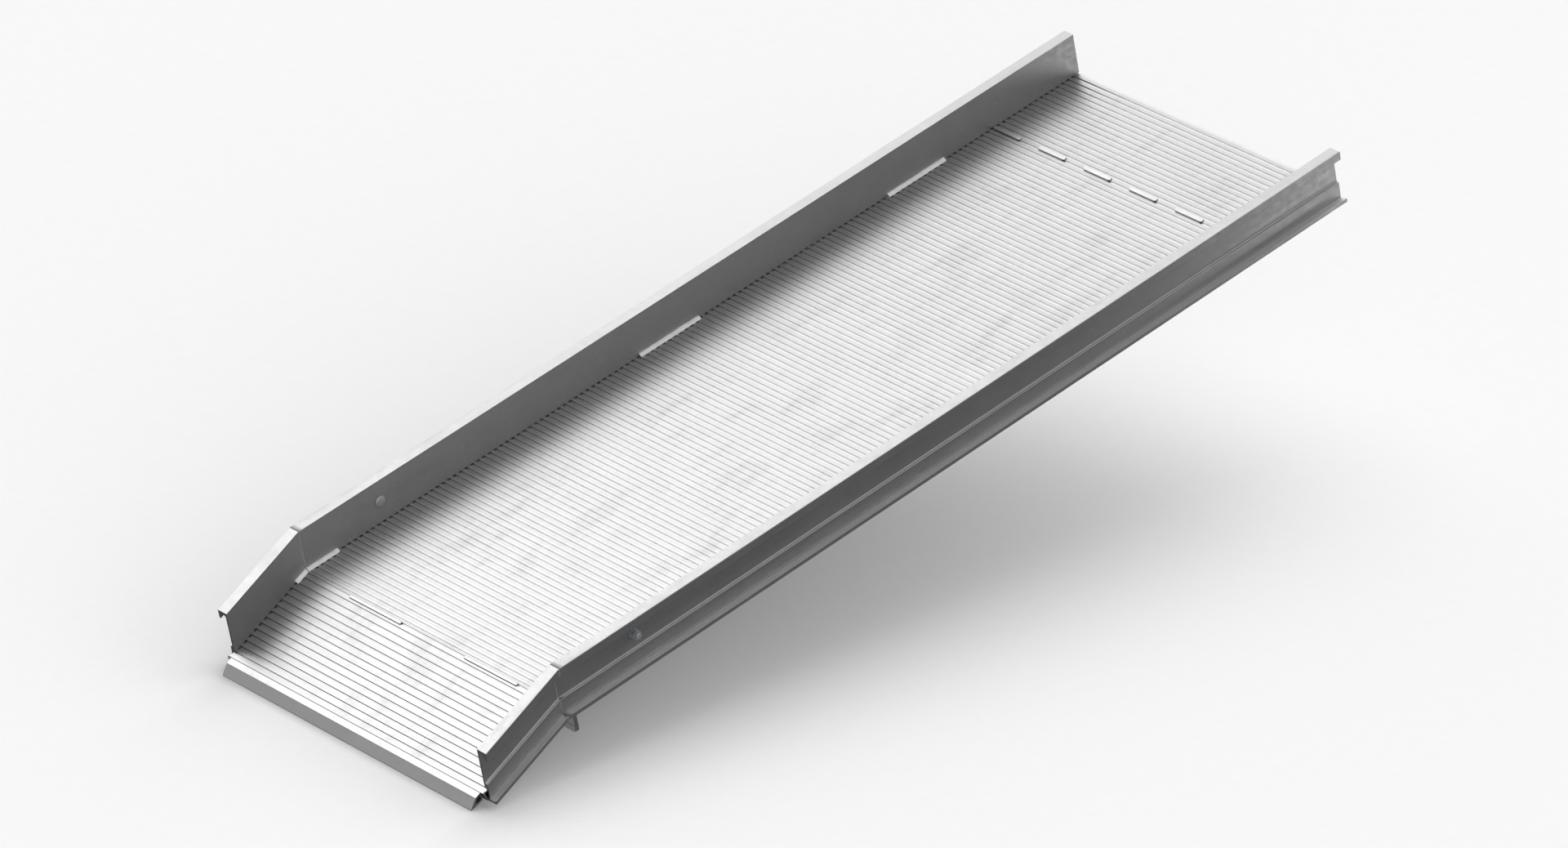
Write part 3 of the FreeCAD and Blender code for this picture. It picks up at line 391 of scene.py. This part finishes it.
ZINC_NODES = {"hinge_pins", "pin_washers", "split_pins",
              "carriage_bolts", "bolt_washers", "lock_nuts"}
UNDER_NODES = {"end_crossmember", "hook_bar", "hinge_ears_main", "hinge_ears_flap"}
ROUND_NODES = {"split_pins", "carriage_bolts"}
DECK_ROUNDING = 0.0003
EDGE_ROUNDING = 0.0006
SHARPEST_ROUNDED = math.radians(35)


def material_for(name):
    """The metal a CAD part is made of, with its grain turned the way the part was drawn."""
    section = "flap" if name in frame["record"]["behaviour"]["bodies"]["flap"] else "main"
    if name in ZINC_NODES:
        return "zinc"
    if "weld" in name:
        return ("stitch_" if "stitch" in name else "weld_") + section
    if name.startswith(("main_rail", "flap_rail")):
        return "rail_" + section
    if name in UNDER_NODES:
        return "under_" + section
    if name == "toe_plate":
        return "toe"
    return "deck_" + section


def dress(name, node):
    """Give a CAD part its metal and a hair of rounding on its sharp edges."""
    node.data.materials.clear()
    node.data.materials.append(MATERIALS[material_for(name)])
    if name in ROUND_NODES or "weld" in name:
        return
    is_deck = "plank" in name or name == "fold_edge_main"
    rounding = node.modifiers.new("edge_rounding", "BEVEL")
    rounding.width = DECK_ROUNDING if is_deck else EDGE_ROUNDING
    rounding.segments = 2
    rounding.limit_method = "ANGLE"
    rounding.angle_limit = SHARPEST_ROUNDED
    rounding.harden_normals = True


for node_name, node_object in frame["nodes"].items():
    dress(node_name, node_object)


# ---------------------------------------------------------------- studio


def toward(azimuth, elevation):
    """Unit direction from angles in degrees, azimuth counted from up the ramp to its far side."""
    turn, rise = math.radians(azimuth), math.radians(elevation)
    flat = math.cos(rise)
    return (flat * math.cos(turn), flat * math.sin(turn), math.sin(rise))


# each panel: direction, degrees within which it is full, degrees at which it is gone, level
FLOOR_LIGHT = 3.18
LIGHTING = [
    (toward(90, 12), 8.0, 40.0, 0.20 * FLOOR_LIGHT),
    (toward(240, 12), 8.0, 40.0, 0.66 * FLOOR_LIGHT),
    (toward(300, 12), 8.0, 40.0, 0.70 * FLOOR_LIGHT),
    (toward(0, 30), 8.0, 40.0, 0.57 * FLOOR_LIGHT),
    (toward(0, 50), 8.0, 40.0, 0.52 * FLOOR_LIGHT),
    (toward(60, 70), 8.0, 40.0, 0.42 * FLOOR_LIGHT),
]
# what the metals mirror: an evenly dim studio with these panels in it
DIM_STUDIO = 0.073
MIRRORED = [
    ((0.05, 0.66, 0.75), 10.0, 42.0, 1.36),
    ((-0.30, 0.68, 0.67), 5.0, 35.0, 0.04),
    ((-0.75, 0.65, 0.12), 10.0, 45.0, 0.19),
    ((0.50, -0.60, 0.60), 10.0, 50.0, 0.09),
    ((-0.55, 0.64, -0.54), 12.0, 36.0, 0.08),
]
# mirrored once only: the panels that light the other sides of the ramp
AROUND = [
    ((0.40, -0.52, 0.75), 10.0, 32.0, 0.34),
    ((-0.50, -0.66, 0.56), 12.0, 36.0, 0.40),
    ((-0.80, -0.52, 0.32), 12.0, 36.0, 0.50),
    ((-0.97, -0.05, 0.22), 8.0, 26.0, 0.50),
    ((-0.42, -0.10, 0.90), 8.0, 30.0, 0.55),
    ((0.95, -0.10, 0.32), 8.0, 28.0, 0.36),
    ((0.30, 0.95, -0.15), 8.0, 30.0, 0.38),
    ((-0.20, 0.20, -0.96), 8.0, 32.0, 0.38),
]
# mirrored twice or more: lights rib faces by way of the groove in front of them
DEEPER = [
    ((-0.60, 0.66, 0.45), 8.0, 24.0, 0.75),
]
# a ray that has met one surface reaches the world at depth 2, one mirrored twice at depth 3
FIRST_BOUNCE = 2.5


def lobe(tree, direction, inner, outer, level):
    """Brightness of a soft panel: full inside one angle from its direction, gone past another."""
    where = tree.nodes.new("ShaderNodeTexCoord").outputs["Generated"]
    unit = tree.nodes.new("ShaderNodeVectorMath")
    unit.operation = "NORMALIZE"
    tree.links.new(where, unit.inputs[0])
    facing = tree.nodes.new("ShaderNodeVectorMath")
    facing.operation = "DOT_PRODUCT"
    tree.links.new(unit.outputs[0], facing.inputs[0])
    facing.inputs[1].default_value = Vector(direction).normalized()
    shape = tree.nodes.new("ShaderNodeMapRange")
    shape.interpolation_type = "SMOOTHSTEP"
    bounds = (math.cos(math.radians(outer)), math.cos(math.radians(inner)), 0.0, level)
    for index, number in enumerate(bounds, start=1):
        shape.inputs[index].default_value = number
    tree.links.new(facing.outputs["Value"], shape.inputs[0])
    return shape.outputs[0]


def sky(tree, dim_level, panels):
    """A white background at one even level, with soft panels added to it."""
    made = tree.nodes.new("ShaderNodeBackground")
    made.inputs[0].default_value = grey(1.0)
    total = None
    for panel in panels:
        adder = tree.nodes.new("ShaderNodeMath")
        adder.operation = "ADD"
        if total is None:
            adder.inputs[0].default_value = dim_level
        else:
            tree.links.new(total, adder.inputs[0])
        tree.links.new(lobe(tree, *panel), adder.inputs[1])
        total = adder.outputs[0]
    tree.links.new(total, made.inputs[1])
    return made.outputs[0]


def choose(tree, amount, first, second):
    """A shader that is the first where amount is 0 and the second where it is 1."""
    made = tree.nodes.new("ShaderNodeMixShader")
    tree.links.new(amount, made.inputs[0])
    tree.links.new(first, made.inputs[1])
    tree.links.new(second, made.inputs[2])
    return made.outputs[0]


def world():
    """Light for the floor from one set of panels; the metals mirror another, dimmer studio.

    Panels on the other sides of the ramp are mirrored once only: a rail that mirrors the deck
    doesn't see them.
    """
    made = bpy.data.worlds.new("studio")
    bpy.context.scene.world = made
    made.use_nodes = True
    made.cycles.sampling_method = "NONE"
    tree = made.node_tree
    tree.nodes.clear()
    path = tree.nodes.new("ShaderNodeLightPath")
    deeper = tree.nodes.new("ShaderNodeMath")
    deeper.operation = "GREATER_THAN"
    deeper.inputs[1].default_value = FIRST_BOUNCE
    tree.links.new(path.outputs["Ray Depth"], deeper.inputs[0])
    mirrored = choose(tree, deeper.outputs[0], sky(tree, DIM_STUDIO, MIRRORED + AROUND),
                      sky(tree, DIM_STUDIO, MIRRORED + DEEPER))
    whole = choose(tree, path.outputs["Is Glossy Ray"], sky(tree, 0.0, LIGHTING), mirrored)
    out = tree.nodes.new("ShaderNodeOutputWorld")
    tree.links.new(whole, out.inputs[0])


def aim(made, heading):
    made.rotation_euler = Vector(heading).to_track_quat("-Z", "Y").to_euler()


def card():
    """A reflector past the long end, low down, that only the metals see, most of all the rails."""
    place, target = Vector((3.92, -1.3, -0.15)), Vector((2.4, 0.2, 0.6))
    light = bpy.data.lights.new("card", "AREA")
    light.shape = "RECTANGLE"
    light.size = 1.3
    light.size_y = 1.3
    light.energy = 7.0
    made = bpy.data.objects.new("card", light)
    bpy.context.scene.collection.objects.link(made)
    made.location = place
    aim(made, target - place)
    made.visible_camera = False
    made.visible_diffuse = False


def floor():
    """Wide pale floor at the height where the flap touches the ground."""
    mesh = bpy.data.meshes.new("studio_floor")
    reach = 120.0
    corners = [(-reach, -reach, 0), (reach, -reach, 0), (reach, reach, 0), (-reach, reach, 0)]
    mesh.from_pydata(corners, [], [(0, 1, 2, 3)])
    made = bpy.data.objects.new("studio_floor", mesh)
    bpy.context.scene.collection.objects.link(made)
    shader = Shader("studio_floor")
    grain = shader.noise(shader.object_point(), 30.0, 2.0)
    tone = shader.stretch(grain, *NOISE_RANGE, 0.895, 0.905)
    shade = shader.node("ShaderNodeCombineColor", None, Red=tone, Green=tone, Blue=tone)
    shader.set(Base_Color=shade.outputs[0], Roughness=1.0, Specular_IOR_Level=0.0)
    made.data.materials.append(shader.material)
    made.visible_glossy = False


def camera():
    """Long lens looking down on the ramp from its near side and the flap's end."""
    data = bpy.data.cameras.new("view")
    data.sensor_width = 36.0
    data.lens = 228.96
    data.clip_end = 200.0
    made = bpy.data.objects.new("view", data)
    bpy.context.scene.collection.objects.link(made)
    made.location = (-11.0307, -13.4700, 9.3203)
    aim(made, (0.60151, 0.66408, -0.44405))
    bpy.context.scene.camera = made


floor()
world()
card()
camera()

bpy.context.scene.view_settings.view_transform = "Standard"
